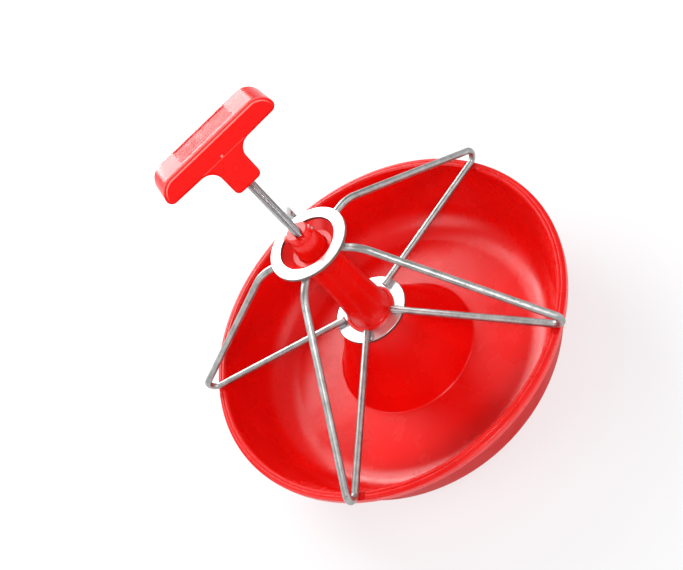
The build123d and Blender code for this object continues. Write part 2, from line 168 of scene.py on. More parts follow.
def tube(name, pts, radius, seg=24, normal=(0, 1, 0), shape=None, cap=0.5, sharp=50.0):
    """Round wire along points that lie in one plane with that normal. shape(s, a) scales the radius."""
    P = np.array(pts, float)
    T = np.gradient(P, axis=0)
    T /= np.linalg.norm(T, axis=1)[:, None]
    B = np.tile(np.array(normal, float), (len(P), 1))
    N = np.cross(B, T)
    N /= np.linalg.norm(N, axis=1)[:, None]
    s = np.concatenate([[0], np.cumsum(np.linalg.norm(np.diff(P, axis=0), axis=1))])
    ang = np.linspace(0, 2 * math.pi, seg, endpoint=False)
    rings, sv = [], []

    def ring(k, r, shift=0.0):
        row = []
        for a in ang:
            q = r * (shape(s[k], a) if shape else 1.0)
            row.append(P[k] + T[k] * shift + N[k] * math.cos(a) * q + B[k] * math.sin(a) * q)
        rings.append(row)
        sv.append(s[k] + shift)

    ring(0, radius - cap, 0.0)
    ring(0, radius - cap * 0.3, cap * 0.3)
    ring(0, radius, cap)
    for k in range(1, len(P) - 1):
        if s[k] > cap * 1.5 and s[-1] - s[k] > cap * 1.5:
            ring(k, radius)
    ring(len(P) - 1, radius, -cap)
    ring(len(P) - 1, radius - cap * 0.3, -cap * 0.3)
    ring(len(P) - 1, radius - cap, 0.0)
    verts = [v for r in rings for v in r]
    faces, uvs = [], []
    for i in range(len(rings) - 1):
        for j in range(seg):
            j2 = (j + 1) % seg
            faces.append((i * seg + j, i * seg + j2, (i + 1) * seg + j2, (i + 1) * seg + j))
            u0, u1 = j / seg, (j + 1) / seg
            uvs += [(u0, sv[i] * 0.01), (u1, sv[i] * 0.01), (u1, sv[i + 1] * 0.01), (u0, sv[i + 1] * 0.01)]
    for base, rev in ((0, True), ((len(rings) - 1) * seg, False)):
        c = len(verts)
        verts.append(np.mean(verts[base:base + seg], axis=0))
        for j in range(seg):
            j2 = (j + 1) % seg
            faces.append((base + j2, base + j, c) if rev else (base + j, base + j2, c))
            uvs += [(0.5, 0.5)] * 3
    ob = make(name, verts, faces, sharp, uvs)
    fix_normals(ob)
    return ob


def spin_z(ob, deg):
    ob.data.transform(Matrix.Rotation(math.radians(deg), 4, "Z"))
    return ob


def evaluated(ob, name):
    bpy.context.view_layer.update()
    dg = bpy.context.evaluated_depsgraph_get()
    me = bpy.data.meshes.new_from_object(ob.evaluated_get(dg))
    me.name = name
    return me


def soften(node, name, voxel, smooth, factor=0.5):
    """A finely remeshed and smoothed copy of a CAD node's solid, so its edges are moulded round."""
    src = link(bpy.data.objects.new(name + "_src", nodes[node].data.copy()))
    md = src.modifiers.new("remesh", "REMESH")
    md.mode = "VOXEL"
    md.voxel_size = voxel * MM
    md.use_smooth_shade = True
    me = evaluated(src, name)
    bpy.data.objects.remove(src)
    bm = bmesh.new()
    bm.from_mesh(me)
    for _ in range(smooth):
        bmesh.ops.smooth_vert(bm, verts=bm.verts, factor=factor, use_axis_x=True, use_axis_y=True, use_axis_z=True)
    bmesh.ops.recalc_face_normals(bm, faces=bm.faces)
    bm.to_mesh(me)
    bm.free()
    me.materials.clear()
    me.polygons.foreach_set("use_smooth", [True] * len(me.polygons))
    return link(bpy.data.objects.new(name, me))


# ------------------------------------------------------------------ node material helpers
class NT:
    def __init__(self, name):
        self.m = bpy.data.materials.new(name)
        self.m.use_nodes = True
        self.t = self.m.node_tree
        self.t.nodes.clear()
        self.out = self.t.nodes.new("ShaderNodeOutputMaterial")
        self.b = self.t.nodes.new("ShaderNodeBsdfPrincipled")
        self.t.links.new(self.b.outputs[0], self.out.inputs[0])

    def n(self, kind, **kw):
        node = self.t.nodes.new(kind)
        for k, v in kw.items():
            if hasattr(node, k) and k not in node.inputs:
                setattr(node, k, v)
            else:
                self.put(node.inputs[k], v)
        return node

    def put(self, sock, v):
        if isinstance(v, bpy.types.NodeSocket):
            self.t.links.new(v, sock)
        else:
            sock.default_value = v

    def set(self, name, v):
        self.put(self.b.inputs[name], v)

    def coord(self, which="Object"):
        return self.n("ShaderNodeTexCoord").outputs[which]

    def math(self, op, a, b=None, c=None, clamp=False):
        node = self.t.nodes.new("ShaderNodeMath")
        node.operation = op
        node.use_clamp = clamp
        self.put(node.inputs[0], a)
        if b is not None:
            self.put(node.inputs[1], b)
        if c is not None:
            self.put(node.inputs[2], c)
        return node.outputs[0]

    def noise(self, vec, scale, detail=3.0, rough=0.55, dist=0.0):
        node = self.t.nodes.new("ShaderNodeTexNoise")
        self.put(node.inputs["Vector"], vec)
        node.inputs["Scale"].default_value = scale
        node.inputs["Detail"].default_value = detail
        node.inputs["Roughness"].default_value = rough
        node.inputs["Distortion"].default_value = dist
        return node.outputs["Fac"]

    def ramp(self, fac, stops, interp="LINEAR"):
        node = self.t.nodes.new("ShaderNodeValToRGB")
        node.color_ramp.interpolation = interp
        el = node.color_ramp.elements
        while len(el) < len(stops):
            el.new(0.5)
        for e, (p, c) in zip(el, stops):
            e.position = p
            e.color = (c, c, c, 1) if isinstance(c, (int, float)) else (*c, 1)
        self.put(node.inputs[0], fac)
        return node.outputs[0]

    def remap(self, v, a0, a1, b0, b1):
        node = self.t.nodes.new("ShaderNodeMapRange")
        self.put(node.inputs[0], v)
        for i, x in enumerate((a0, a1, b0, b1)):
            node.inputs[i + 1].default_value = x
        return node.outputs[0]

    def mix(self, fac, a, b, mode="MIX"):
        node = self.t.nodes.new("ShaderNodeMix")
        node.data_type = "RGBA"
        node.blend_type = mode
        self.put(node.inputs[0], fac)
        self.put(node.inputs[6], a if isinstance(a, bpy.types.NodeSocket) else (*a, 1))
        self.put(node.inputs[7], b if isinstance(b, bpy.types.NodeSocket) else (*b, 1))
        return node.outputs[2]

    def scale(self, vec, s):
        node = self.t.nodes.new("ShaderNodeMapping")
        self.put(node.inputs["Vector"], vec)
        node.inputs["Scale"].default_value = s
        return node.outputs[0]

    def xyz(self, vec):
        node = self.t.nodes.new("ShaderNodeSeparateXYZ")
        self.put(node.inputs[0], vec)
        return node.outputs

    def comb(self, x, y, z):
        node = self.t.nodes.new("ShaderNodeCombineXYZ")
        for i, v in enumerate((x, y, z)):
            self.put(node.inputs[i], v)
        return node.outputs[0]

    def polar(self, vec, kr, ka, kz):
        """Cylindrical coordinates about Z, scaled: radius, angle (seam at the back), height."""
        x, y, z = self.xyz(vec)
        r = self.math("SQRT", self.math("ADD", self.math("MULTIPLY", x, x), self.math("MULTIPLY", y, y)))
        # sine and cosine of the angle keep the pattern free of a seam
        rs = self.math("MAXIMUM", r, 0.0005)
        cx, sy = self.math("DIVIDE", x, rs), self.math("DIVIDE", y, rs)
        return self.comb(self.math("MULTIPLY", cx, ka), self.math("MULTIPLY", sy, ka),
                         self.math("ADD", self.math("MULTIPLY", r, kr), self.math("MULTIPLY", z, kz))), r

    def bump(self, height, strength, distance):
        node = self.t.nodes.new("ShaderNodeBump")
        node.inputs["Strength"].default_value = strength
        node.inputs["Distance"].default_value = distance
        self.put(node.inputs["Height"], height)
        return node.outputs[0]


def plastic(name, base, dark, rough=(0.24, 0.32), scratches=1.0, wave=1.0, spec=0.5, recess=False, outer_wall_shade=False):
    """Gloss injection-moulded polypropylene: slight flow mottling, scuffed gloss, faint waviness."""
    t = NT(name)
    co = t.coord()
    mott = t.noise(co, 16.0, 2.0)
    flow, r = t.polar(co, 40.0, 2.2, 16.0)
    flown = t.noise(flow, 1.0, 3.0, 0.55)
    fac = t.math("ADD", t.math("MULTIPLY", mott, 0.6), t.math("MULTIPLY", flown, 0.4))
    col = t.mix(t.remap(fac, 0.35, 0.65, 0.0, 1.0), dark, base)
    # fine scuffs that run round the piece
    sc, _ = t.polar(co, 2200.0, 9.0, 1800.0)
    scn = t.noise(sc, 1.0, 2.0, 0.5)
    patch = t.remap(t.noise(co, 30.0, 3.0, 0.6), 0.46, 0.74, 0.0, 1.0)
    scuff = t.math("MULTIPLY", t.remap(scn, 0.60, 0.82, 0.0, 1.0), patch)
    col = t.mix(t.math("MULTIPLY", scuff, 0.05 * scratches), col, (0.90, 0.16, 0.12))
    rg = t.remap(patch, 0.0, 1.0, rough[0], rough[1])
    rg = t.math("ADD", rg, t.math("MULTIPLY", scuff, 0.10 * scratches))
    h = t.math("MULTIPLY", t.noise(co, 60.0, 2.0), 1.0 * wave)
    if recess:
        # the floor of the panel in the top of the grip has a fine moulded grain
        x, y, z = t.xyz(co)
        ca, sa = math.cos(HANDLE_AZ), math.sin(HANDLE_AZ)
        px = t.math("ADD", t.math("MULTIPLY", x, ca), t.math("MULTIPLY", y, sa))
        py = t.math("SUBTRACT", t.math("MULTIPLY", y, ca), t.math("MULTIPLY", x, sa))
        inx = t.remap(t.math("ABSOLUTE", t.math("ADD", px, 0.0002)), 0.0178, 0.0182, 1.0, 0.0)
        iny = t.remap(t.math("ABSOLUTE", t.math("SUBTRACT", py, 0.0003)), 0.0067, 0.0071, 1.0, 0.0)
        inz = t.remap(z, 0.2509, 0.2510, 0.0, 1.0)
        m = t.math("MULTIPLY", t.math("MULTIPLY", inx, iny), inz)
        grain = t.noise(co, 900.0, 3.0, 0.6)
        big = t.noise(co, 240.0, 3.0, 0.6)
        rg = t.math("ADD", rg, t.math("MULTIPLY", m, t.remap(big, 0.3, 0.7, 0.10, 0.24)))
        h = t.math("ADD", h, t.math("MULTIPLY", m, t.math("ADD", t.math("MULTIPLY", grain, 0.16), t.math("MULTIPLY", big, 0.25))))
        col = t.mix(t.math("MULTIPLY", m, t.remap(grain, 0.40, 0.62, 0.10, 0.75)), col, tuple(c * 0.60 for c in dark))
        # a fine line and a small pale dot on the faces of the stem, seen on one face in the photo
        onface = t.remap(t.math("ABSOLUTE", py), 0.0088, 0.0094, 0.0, 1.0)
        line = t.math("MULTIPLY", t.remap(t.math("ABSOLUTE", t.math("SUBTRACT", z, 0.2394)), 0.00010, 0.00022, 1.0, 0.0),
                      t.remap(t.math("ABSOLUTE", t.math("ADD", px, 0.0007)), 0.0148, 0.0156, 1.0, 0.0))
        dx = t.math("ADD", px, 0.0007)
        dz = t.math("SUBTRACT", z, 0.2405)
        dot = t.remap(t.math("SQRT", t.math("ADD", t.math("MULTIPLY", dx, dx), t.math("MULTIPLY", dz, dz))), 0.0004, 0.0009, 1.0, 0.0)
        mark = t.math("MULTIPLY", onface, t.math("MAXIMUM", line, dot))
        # painted highlight on the upper edges of the two proud faces, matched to the photo
        nz = t.xyz(t.coord("Normal"))[2]
        apy = t.math("ABSOLUTE", py)
        painted_ledge_highlight = t.math("MULTIPLY", t.remap(apy, 0.0093, 0.0096, 0.0, 1.0), t.remap(nz, 0.15, 0.55, 0.0, 1.0))
        painted_rim_highlight = t.math("MULTIPLY", t.math("MULTIPLY", t.remap(apy, 0.0084, 0.0088, 0.0, 1.0), t.remap(apy, 0.0092, 0.0095, 1.0, 0.0)), t.remap(nz, 0.30, 0.60, 0.0, 1.0))
        col = t.mix(t.math("ADD", t.math("MULTIPLY", painted_ledge_highlight, 0.55), t.math("MULTIPLY", painted_rim_highlight, 0.35)), col, (1.0, 0.42, 0.38))
        spec = t.math("SUBTRACT", t.remap(apy, 0.0086, 0.0092, 0.33, spec), t.math("MULTIPLY", m, 0.14))
        h = t.math("ADD", h, t.math("MULTIPLY", mark, 0.5))
        # the pale colour of the line and dot is a painted highlight; the marks are also raised slightly through the
        # bump
        col = t.mix(t.math("MULTIPLY", onface, t.math("MAXIMUM", t.math("MULTIPLY", line, 0.22), t.math("MULTIPLY", dot, 0.7))), col, (1.0, 0.40, 0.36))
    if outer_wall_shade:
        # the outer wall is painted darker and less shiny than the inside, matched to the photo:
        # painted shade that stands in for light that the scene does not reproduce, not for a known finish
        x, y, z = t.xyz(co)
        nx, ny, nz = t.xyz(t.coord("Normal"))
        rad = t.math("SQRT", t.math("ADD", t.math("MULTIPLY", x, x), t.math("MULTIPLY", y, y)))
        away = t.math("DIVIDE", t.math("ADD", t.math("MULTIPLY", x, nx), t.math("MULTIPLY", y, ny)), t.math("MAXIMUM", rad, 0.001))
        m = t.math("MULTIPLY", t.math("MULTIPLY", t.remap(rad, 0.095, 0.110, 0.0, 1.0), t.remap(away, 0.10, 0.40, 0.0, 1.0)), t.remap(z, 0.052, 0.060, 1.0, 0.0))
        col = t.mix(t.math("MULTIPLY", m, 0.85), col, tuple(c * 0.68 for c in dark))
        rg = t.math("ADD", rg, t.math("MULTIPLY", m, 0.12))
        spec = t.remap(m, 0.0, 1.0, spec, 0.03)
    t.set("Base Color", col)
    t.set("Roughness", rg)
    t.set("IOR", 1.49)
    t.set("Specular IOR Level", spec)
    t.set("Normal", t.bump(h, 0.35, 0.00022))
    return t.m


def zinc(name, lo, hi, rough=(0.26, 0.48), streak_uv=True, grain=(7.0, 260.0), spots=0.5, bumps=0.5, edge=None):
    """Zinc plate: long streaks along the draw direction, cloudy grey, small dull spots."""
    t = NT(name)
    co = t.coord()
    if streak_uv:
        uv = t.coord("UV")
        u, v, _ = t.xyz(uv)
        ang = t.math("MULTIPLY", u, 2 * math.pi)
        vec = t.comb(t.math("MULTIPLY", t.math("SINE", ang), grain[0]),
                     t.math("MULTIPLY", t.math("COSINE", ang), grain[0]), t.math("MULTIPLY", v, 3.0))
        st = t.noise(vec, 1.0, 5.0, 0.62)
    else:
        pv, _ = t.polar(co, grain[1], grain[0], grain[1])
        st = t.noise(pv, 1.0, 4.0, 0.6)
    cloud = t.noise(co, 150.0, 4.0, 0.6)
    fine = t.noise(co, 1500.0, 2.0, 0.5)
    fac = t.math("ADD", t.math("MULTIPLY", st, 0.55), t.math("MULTIPLY", cloud, 0.45))
    col = t.mix(t.remap(fac, 0.34, 0.66, 0.0, 1.0), lo, hi)
    dull = t.remap(t.noise(co, 420.0, 3.0, 0.6), 0.60, 0.74, 0.0, 1.0)
    col = t.mix(t.math("MULTIPLY", dull, spots), col, tuple(c * 0.62 for c in lo))
    rg = t.remap(st, 0.3, 0.7, rough[0], rough[1])
    if edge:
        # sheared edges of flat sheet are duller and darker than its faces
        nx, ny, nz = t.xyz(t.coord("Normal"))
        side = t.remap(t.math("ABSOLUTE", nz), 0.35, 0.85, 1.0, 0.0)
        col = t.mix(side, col, t.mix(t.remap(fine, 0.35, 0.65, 0.0, 1.0), tuple(c * 0.6 for c in edge), edge))
        rg = t.math("ADD", rg, t.math("MULTIPLY", side, 0.12))
    t.set("Base Color", col)
    t.set("Metallic", 1.0)
    t.set("Roughness", t.math("ADD", rg, t.math("MULTIPLY", dull, 0.16)))
    h = t.math("ADD", t.math("MULTIPLY", st, 0.6), t.math("ADD", t.math("MULTIPLY", fine, 0.35), t.math("MULTIPLY", cloud, 0.5)))
    t.set("Normal", t.bump(h, bumps, 0.00010))
    return t.m


# ------------------------------------------------------------------ materials
M_PAN = plastic("red_pan_plastic", (0.80, 0.0024, 0.0006), (0.73, 0.0018, 0.0005), rough=(0.25, 0.36), spec=0.42, outer_wall_shade=True)
M_HOUSING = plastic("red_housing_plastic", (0.78, 0.0034, 0.0010), (0.70, 0.0026, 0.0008), rough=(0.26, 0.34), scratches=0.5, spec=0.42)
M_COLLAR = plastic("red_collar_plastic", (0.84, 0.0050, 0.0016), (0.78, 0.0040, 0.0014), rough=(0.24, 0.32), scratches=0.4)
M_HANDLE = plastic("red_handle_plastic", (0.83, 0.0026, 0.0006), (0.77, 0.0018, 0.0004), rough=(0.26, 0.34), scratches=0.5, wave=0.8, spec=0.16, recess=True)
M_WIRE = zinc("zinc_wire", (0.24, 0.245, 0.235), (0.62, 0.63, 0.62), rough=(0.33, 0.50), spots=0.75, bumps=0.9)
M_RING = zinc("zinc_ring", (0.80, 0.80, 0.80), (0.93, 0.93, 0.93), rough=(0.32, 0.46), streak_uv=False, grain=(2.4, 900.0), spots=0.15, bumps=0.3, edge=(0.30, 0.28, 0.26))
M_WELD = zinc("zinc_weld", (0.24, 0.24, 0.25), (0.56, 0.57, 0.58), rough=(0.30, 0.5), streak_uv=False, grain=(8.0, 600.0), spots=0.5, bumps=0.6)
M_HARD = zinc("zinc_hardware", (0.48, 0.49, 0.50), (0.76, 0.77, 0.78), rough=(0.24, 0.40), streak_uv=False, grain=(6.0, 500.0), spots=0.3)
M_PIN = zinc("pin_steel", (0.40, 0.39, 0.38), (0.70, 0.69, 0.68), rough=(0.24, 0.40), streak_uv=False, grain=(6.0, 500.0), spots=0.3)
M_SPRING = zinc("spring_steel", (0.36, 0.37, 0.38), (0.62, 0.63, 0.64), rough=(0.24, 0.40), spots=0.3)


def thread_material():
    t = NT("zinc_thread")
    co = t.coord()
    x, y, z = t.xyz(co)
    r = t.math("SQRT", t.math("ADD", t.math("MULTIPLY", x, x), t.math("MULTIPLY", y, y)))
    # painted shade: the thread roots are drawn near black, and the top of the rod below the handle is darkened as the
    # handle's shadow
    crest_mask_with_painted_shade = t.math("MULTIPLY", t.remap(r, 0.00256, 0.00290, 0.0, 1.0), t.remap(z, 0.2115, 0.2150, 1.0, 0.10))
    cloud = t.noise(co, 260.0, 4.0, 0.6)
    col = t.mix(crest_mask_with_painted_shade, (0.025, 0.025, 0.03), (0.66, 0.67, 0.68))
    col = t.mix(t.remap(cloud, 0.35, 0.7, 0.0, 0.25), col, (0.28, 0.29, 0.30))
    t.set("Base Color", col)
    t.set("Metallic", 1.0)
    t.set("Roughness", t.remap(cloud, 0.3, 0.7, 0.30, 0.46))
    t.set("Normal", t.bump(t.noise(co, 1800.0, 2.0), 0.25, 0.00005))
    return t.m


M_THREAD = thread_material()


def give(ob, mat, body, slot, *reps):
    ob.data.materials.clear()
    ob.data.materials.append(mat)
    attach(ob, body)
    if reps:
        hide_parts(*reps)
    return ob


def paint(node, mat):
    ob = nodes[node]
    if not ob.data.materials:
        ob.data.materials.append(mat)
    for s in ob.material_slots:
        s.material = mat


# ------------------------------------------------------------------ pan
tilt = math.radians(12.6)
cr, cz, ri_, ro_ = 99.6, 30.8, 26.8, 30.0
slope = (57.4 - 22.3) / (61.8 - 4.0)
in_end = (cr + ri_ * math.cos(tilt), cz - ri_ * math.sin(tilt))
out_end = (cr + ro_ * math.cos(tilt), cz - ro_ * math.sin(tilt))


def wall(base, z):
    return base[0] + (z - base[1]) * math.tan(tilt)


in_off = 3.0 * math.hypot(1, slope)
cin_top = 22.3 - in_off + 3.0 * slope
cin_bot = 57.4 - in_off + 4.0 * slope
prof = []
prof += rounded([(9.0, 58.8, 0.3), (9.0, 61.8, 0.5), (22.3, 61.8, 1.6), (57.4, 4.0, 2.2), (cr, 4.0, 0)], closed=False, seg=6)
prof += arc(cr, cz, ri_, -90, -12.6, 30)[1:]
# rim: inner bead, small step, flat top, crisp outer edge
BEAD = 0.7
prof += rounded([(wall(in_end, 50.0), 50.0), (wall(in_end, 57.2), 57.2, 1.2), (wall(in_end, 58.4) - BEAD, 58.4, 1.0), (wall(in_end, 63.6) - BEAD, 63.6, 0.9),
                 (134.9, 64.8, 0.5), (136.3, 64.85, 0.4), (136.55, 64.5, 0.3), (136.85, 64.5, 0.3),
                 (137.1, 64.98, 0.4), (138.6, 65.0, 0.8), (139.96, 64.45, 0.8), (140.0, 62.0, 0.5),
                 (140.0, 58.8, 0.7), (wall(out_end, 58.8), 58.8, 0.9), (wall(out_end, 50.0), 50.0)], closed=False, seg=5)
prof += arc(cr, cz, ro_, -12.6, -90, 30)[:-1]
prof += rounded([(cr, 0.8), (cr - 1.0, 0.8, 0.3), (cr - 1.6, 0, 0.25), (cr - 5.0, 0, 0.25), (cr - 5.6, 0.8, 0.3), (66.0, 0.8, 0.3), (65.4, 0, 0.25),
                 (cin_bot, 0, 0.9), (cin_top, 58.8, 2.0), (9.0, 58.8, 0)], closed=False, seg=4)[:-1]
prof = densify(prof, 4.0)
# extra rings near the rim's top face so that the wire seats cut cleanly
th = set()
for k in range(240):
    th.add(round(2 * math.pi * k / 240, 6))
for az in ARM_AZ:
    a0 = math.radians(az) % (2 * math.pi)
    for s in (-9, -7.6, -6.9, -6.3, -6.1, -5.9, -5.55, -5.5, -5.0, -4.62, -4.56, -3, -1.5, 0, 1.5, 3, 4.56, 4.62, 5.0, 5.5, 5.55, 5.9, 6.1, 6.3, 6.9, 7.6, 9):
        th.add(round((a0 + s / 137.0) % (2 * math.pi), 6))
th = sorted(th)
keep = [th[0]]
for v in th[1:]:
    if v - keep[-1] > 0.00025:
        keep.append(v)
th = np.array(keep)


def seats(v, th):
    r = np.hypot(v[:, :, 0], v[:, :, 1])
    for az in ARM_AZ:
        a = math.radians(az)
        along = v[:, :, 0] * math.cos(a) + v[:, :, 1] * math.sin(a)
        s = np.abs(-v[:, :, 0] * math.sin(a) + v[:, :, 1] * math.cos(a))
        lim = np.interp(s, [0, 4.6, 5.5, 6.7, 7.0, 400], [64.2, 64.2, 64.7, 66.0, 90, 90])
        hit = (along > 0) & (r > 130) & (s < 7.0)
        v[:, :, 2] = np.where(hit, np.minimum(v[:, :, 2], lim), v[:, :, 2])
        # the inner bead stops short of the seat
        wz = wall(in_end, v[:, :, 2])
        cut = (along > 0) & (v[:, :, 2] > 57.0) & (r < wz + 0.05) & (r > 128)
        push = np.where(cut, np.clip((6.15 - s) / 0.22, 0, 1) * (wz - r).clip(0, 1), 0.0)
        v[:, :, 0] *= 1 + push / r
        v[:, :, 1] *= 1 + push / r
    # a moulded pan is never perfectly true: the rim and wall wander a few hundredths of a millimetre
    wob = 0.06 * np.sin(2 * th + 0.7) + 0.04 * np.sin(3 * th + 2.0)
    k = np.clip((r - 105) / 35, 0, 1) * np.where(r < 139.0, 1, 0)
    f = 1 + k * (wob[:, None] - 0.10) / 140
    v[:, :, 0] *= f
    v[:, :, 1] *= f
    return v


pan = lathe("pan_moulding", prof, th, warp=seats, sharp=32.0)
give(pan, M_PAN, "feeder", "pan_plastic", "pan")

# ------------------------------------------------------------------ flat rings
def ring_mesh(name, r0, r1, z0, z1, node):
    p = rounded([(r0, z0, 0.35), (r1, z0, 0.35), (r1, z1, 0.55), (r0, z1, 0.45)], seg=5)
    p = densify(p, 1.3)
    m = 180

    def warp(v, th):
        rr = np.hypot(v[:, :, 0], v[:, :, 1])
        wob = 0.03 * np.sin(2 * th + 1.1) + 0.02 * np.sin(5 * th)
        # punched edges: fine vertical shear marks
        edge = np.clip((np.abs(rr - (r0 + r1) / 2) - (r1 - r0) / 2 + 0.6) / 0.6, 0, 1)
        jit = 0.02 * np.sin(37 * th) * np.sin(23 * th + 1)
        f = 1 + edge * (jit[:, None] + wob[:, None] - 0.06) / rr * np.where(rr > (r0 + r1) / 2, 1, 0)
        v[:, :, 0] *= f
        v[:, :, 1] *= f
        return v

    ob = lathe(name, p, m, warp=warp, sharp=40)
    return give(ob, M_RING, "feeder", "ring_zinc", node)


ring_mesh("ring_lower", 17.5, 28.0, 61.8, LOW_TOP, "lower_ring")
ring_mesh("ring_upper", 20.0, 28.0, UP_Z0, UP_Z1, "upper_ring")

# ------------------------------------------------------------------ wire arms
W = 2.5
bend_r, sh_r = 6.0, 25.0
bc = np.array([144.6 - W - bend_r, 66.7 + bend_r])
start = np.array([20.0, 66.86])
shc = np.array([31.3, 146.3 - sh_r])
d = start - bc
ta = math.atan2(d[1], d[0]) + math.acos(bend_r / np.linalg.norm(d))
d2 = bc - shc
ph = math.atan2(d2[1], d2[0]) + math.acos((sh_r - bend_r) / np.linalg.norm(d2))
pts = []


def run(a, b, step):
    a, b = np.array(a), np.array(b)
    k = max(2, int(np.linalg.norm(b - a) / step))
    return [tuple(a + (b - a) * i / k) for i in range(k)]


t_low = bc + bend_r * np.array([math.cos(ta), math.sin(ta)])
t_up = bc + bend_r * np.array([math.cos(ph), math.sin(ph)])
t_sh = shc + sh_r * np.array([math.cos(ph), math.sin(ph)])
a0 = ta if ta < ph else ta - 2 * math.pi
pts += run(start, t_low, 2.5)
pts += [tuple(bc + bend_r * np.array([math.cos(a0 + (ph - a0) * i / 22), math.sin(a0 + (ph - a0) * i / 22)])) for i in range(22)]
pts += run(t_up, t_sh, 2.5)
pts += [tuple(shc + sh_r * np.array([math.cos(ph + (math.pi / 2 - ph) * i / 12), math.sin(ph + (math.pi / 2 - ph) * i / 12)])) for i in range(12)]
pts += run((shc[0], 146.3), (23.5, 146.3), 2.5) + [(23.5, 146.3)]
path3 = [(p[0], 0.0, p[1]) for p in pts]
cum = np.concatenate([[0], np.cumsum(np.linalg.norm(np.diff(np.array(pts), axis=0), axis=1))])
tip_s = cum[len(run(start, t_low, 2.5)) + 11]
for k, az in enumerate(ARM_AZ):
    ph0 = rng.uniform(0, 6.28, 4)

    def shape(s, a, ph0=ph0):
        f = 0.994 + 0.003 * math.sin(s * 0.21 + ph0[0]) + 0.002 * math.sin(s * 0.9 + ph0[1] + a)
        # the tight bend pulls the wire slightly oval
        f -= 0.030 * math.exp(-((s - tip_s) / 6.0) ** 2) * abs(math.sin(a))
        return min(f, 1.0)

    ob = tube("wire_arm_%d" % (k + 1), path3, W, seg=28, normal=(0, 1, 0), shape=shape, cap=0.45)
    spin_z(ob, az)
    give(ob, M_WIRE, "feeder", "wire_zinc", "spider_arm_%d" % (k + 1))


# ------------------------------------------------------------------ weld beads
def bead_mesh(name, r0, r1, y, z, rad, ring_z, below, node):
    verts, faces = [], []
    nl, na = 34, 20
    for q, az in enumerate(ARM_AZ):
        ca, sa = math.cos(math.radians(az)), math.sin(math.radians(az))
        base = len(verts)
        g = np.random.default_rng(20 + q)
        n_rip = 4.5 + g.uniform(-0.5, 0.5)
        for i in range(nl):
            t = i / (nl - 1)
            x = (r0 - rad * 0.9) + t * (r1 - r0 + rad * 1.8)
            env = math.sqrt(max(0.0, 1 - (2 * t - 1) ** 4)) if 0 < i < nl - 1 else 0.02
            rip = 0.90 + 0.09 * abs(math.sin(math.pi * n_rip * t)) + g.uniform(-0.015, 0.015)
            for j in range(na):
                a = 2 * math.pi * j / na
                rr = rad * env * rip
                yy = y + rr * math.cos(a)
                zz = z + rr * math.sin(a)
                zz = min(zz, ring_z) if below else max(zz, ring_z)
                verts.append((x * ca - yy * sa, x * sa + yy * ca, zz))
        for i in range(nl - 1):
            for j in range(na):
                j2 = (j + 1) % na
                faces.append((base + i * na + j, base + i * na + j2, base + (i + 1) * na + j2, base + (i + 1) * na + j))
        faces.append(tuple(base + j for j in range(na)))
        faces.append(tuple(base + (nl - 1) * na + j for j in range(na)))
    ob = make(name, verts, faces, 60)
    fix_normals(ob)
    give(ob, M_WELD, "feeder", "weld_metal", node)


bead_mesh("weld_lower", 21.9, 26.0, 2.9, LOW_TOP + 0.35, 1.65, LOW_TOP, False, "lower_weld_beads")
bead_mesh("weld_upper", 23.6, 25.8, 2.9, UP_Z0 - 0.35, 1.65, UP_Z0, True, "upper_weld_beads")

# ------------------------------------------------------------------ spring housing
hp = rounded([(3.02, 58.8, 0.2), (8.9, 58.8, 0.5), (8.9, 61.8, 0.2), (17.3, 61.8, 0.2), (17.3, 64.3, 0.1), (19.1, 64.3, 0.15),
              (19.2, 66.1, 0.7), (17.2, 66.35, 0.9), (16.55, 69.3, 0)], closed=False, seg=8)[:-1]
# the tube is drawn in a little towards the middle
for i in range(25):
    t = i / 24
    zz = 69.3 + (124.0 - 69.3) * t
    k = (124.0 - zz) / (124.0 - 69.3)
    hp.append((13.4 + 0.35 * k + 2.6 * k ** 2.6, zz))
hp = hp[:-1]
flare = []
for i in range(25):
    t = i / 24
    # flare outline: quarter-sine growth between (13.4, 124) and (21.4, 147.6)
    zz = 124.0 + 23.6 * t
    rr = 13.4 + 0.55 * t + 7.45 * t ** 2.6
    flare.append((rr, zz))
hp += flare
hp += rounded([flare[-1], (21.4, 148.75, 0.5), (20.1, 148.8, 0.4), (14.4, 144.5, 0.35), (10.8, 144.5, 0.5), (10.8, 70.0, 0.5), (3.02, 70.0, 0.3), (3.02, 58.8, 0)],
              closed=False, seg=7)[1:-1]
hp = densify(hp, 3.0)
housing = lathe("housing_tube", hp, 120, sharp=38)
give(housing, M_HOUSING, "feeder", "housing_plastic", "spring_housing")

# ------------------------------------------------------------------ rod with a rolled thread
def thread_rod(name, z0, z1, r_out, pitch, depth, na=36, per=14):
    n = int((z1 - z0) / pitch * per)
    zs = np.linspace(z0, z1, n)
    a = np.linspace(0, 2 * math.pi, na, endpoint=False)
    Z, A = np.meshgrid(zs, a, indexing="ij")
    phase = ((Z / pitch - A / (2 * math.pi)) % 1.0)
    tri = np.abs(phase * 2 - 1)                     # 0 at the root, 1 at the crest
    prof_t = np.clip((tri - 0.10) / 0.72, 0, 1)
    prof_t = prof_t ** 0.9
    R = r_out - depth * (1 - prof_t)
    end = np.minimum(Z - z0, z1 - Z)
    R = np.minimum(R, r_out - 0.6 + end * 1.0)
    R = R + 0.006 * np.sin(A * 3 + Z * 2.1)
    R = np.minimum(R, r_out)
    V = np.stack([R * np.cos(A), R * np.sin(A), Z], -1).reshape(-1, 3)
    faces = []
    for i in range(n - 1):
        for j in range(na):
            j2 = (j + 1) % na
            faces.append((i * na + j, i * na + j2, (i + 1) * na + j2, (i + 1) * na + j))
    verts = V.tolist()
    for base, z, rev in ((0, z0, True), ((n - 1) * na, z1, False)):
        c = len(verts)
        verts.append((0, 0, z))
        for j in range(na):
            j2 = (j + 1) % na
            faces.append((base + j2, base + j, c) if rev else (base + j, base + j2, c))
    ob = make(name, verts, faces, 0)
    return ob


rod = thread_rod("threaded_rod", 2.0, 236.0, 2.94, 1.0, 0.50)
give(rod, M_THREAD, "rod_group", "rod_steel", "draw_rod")

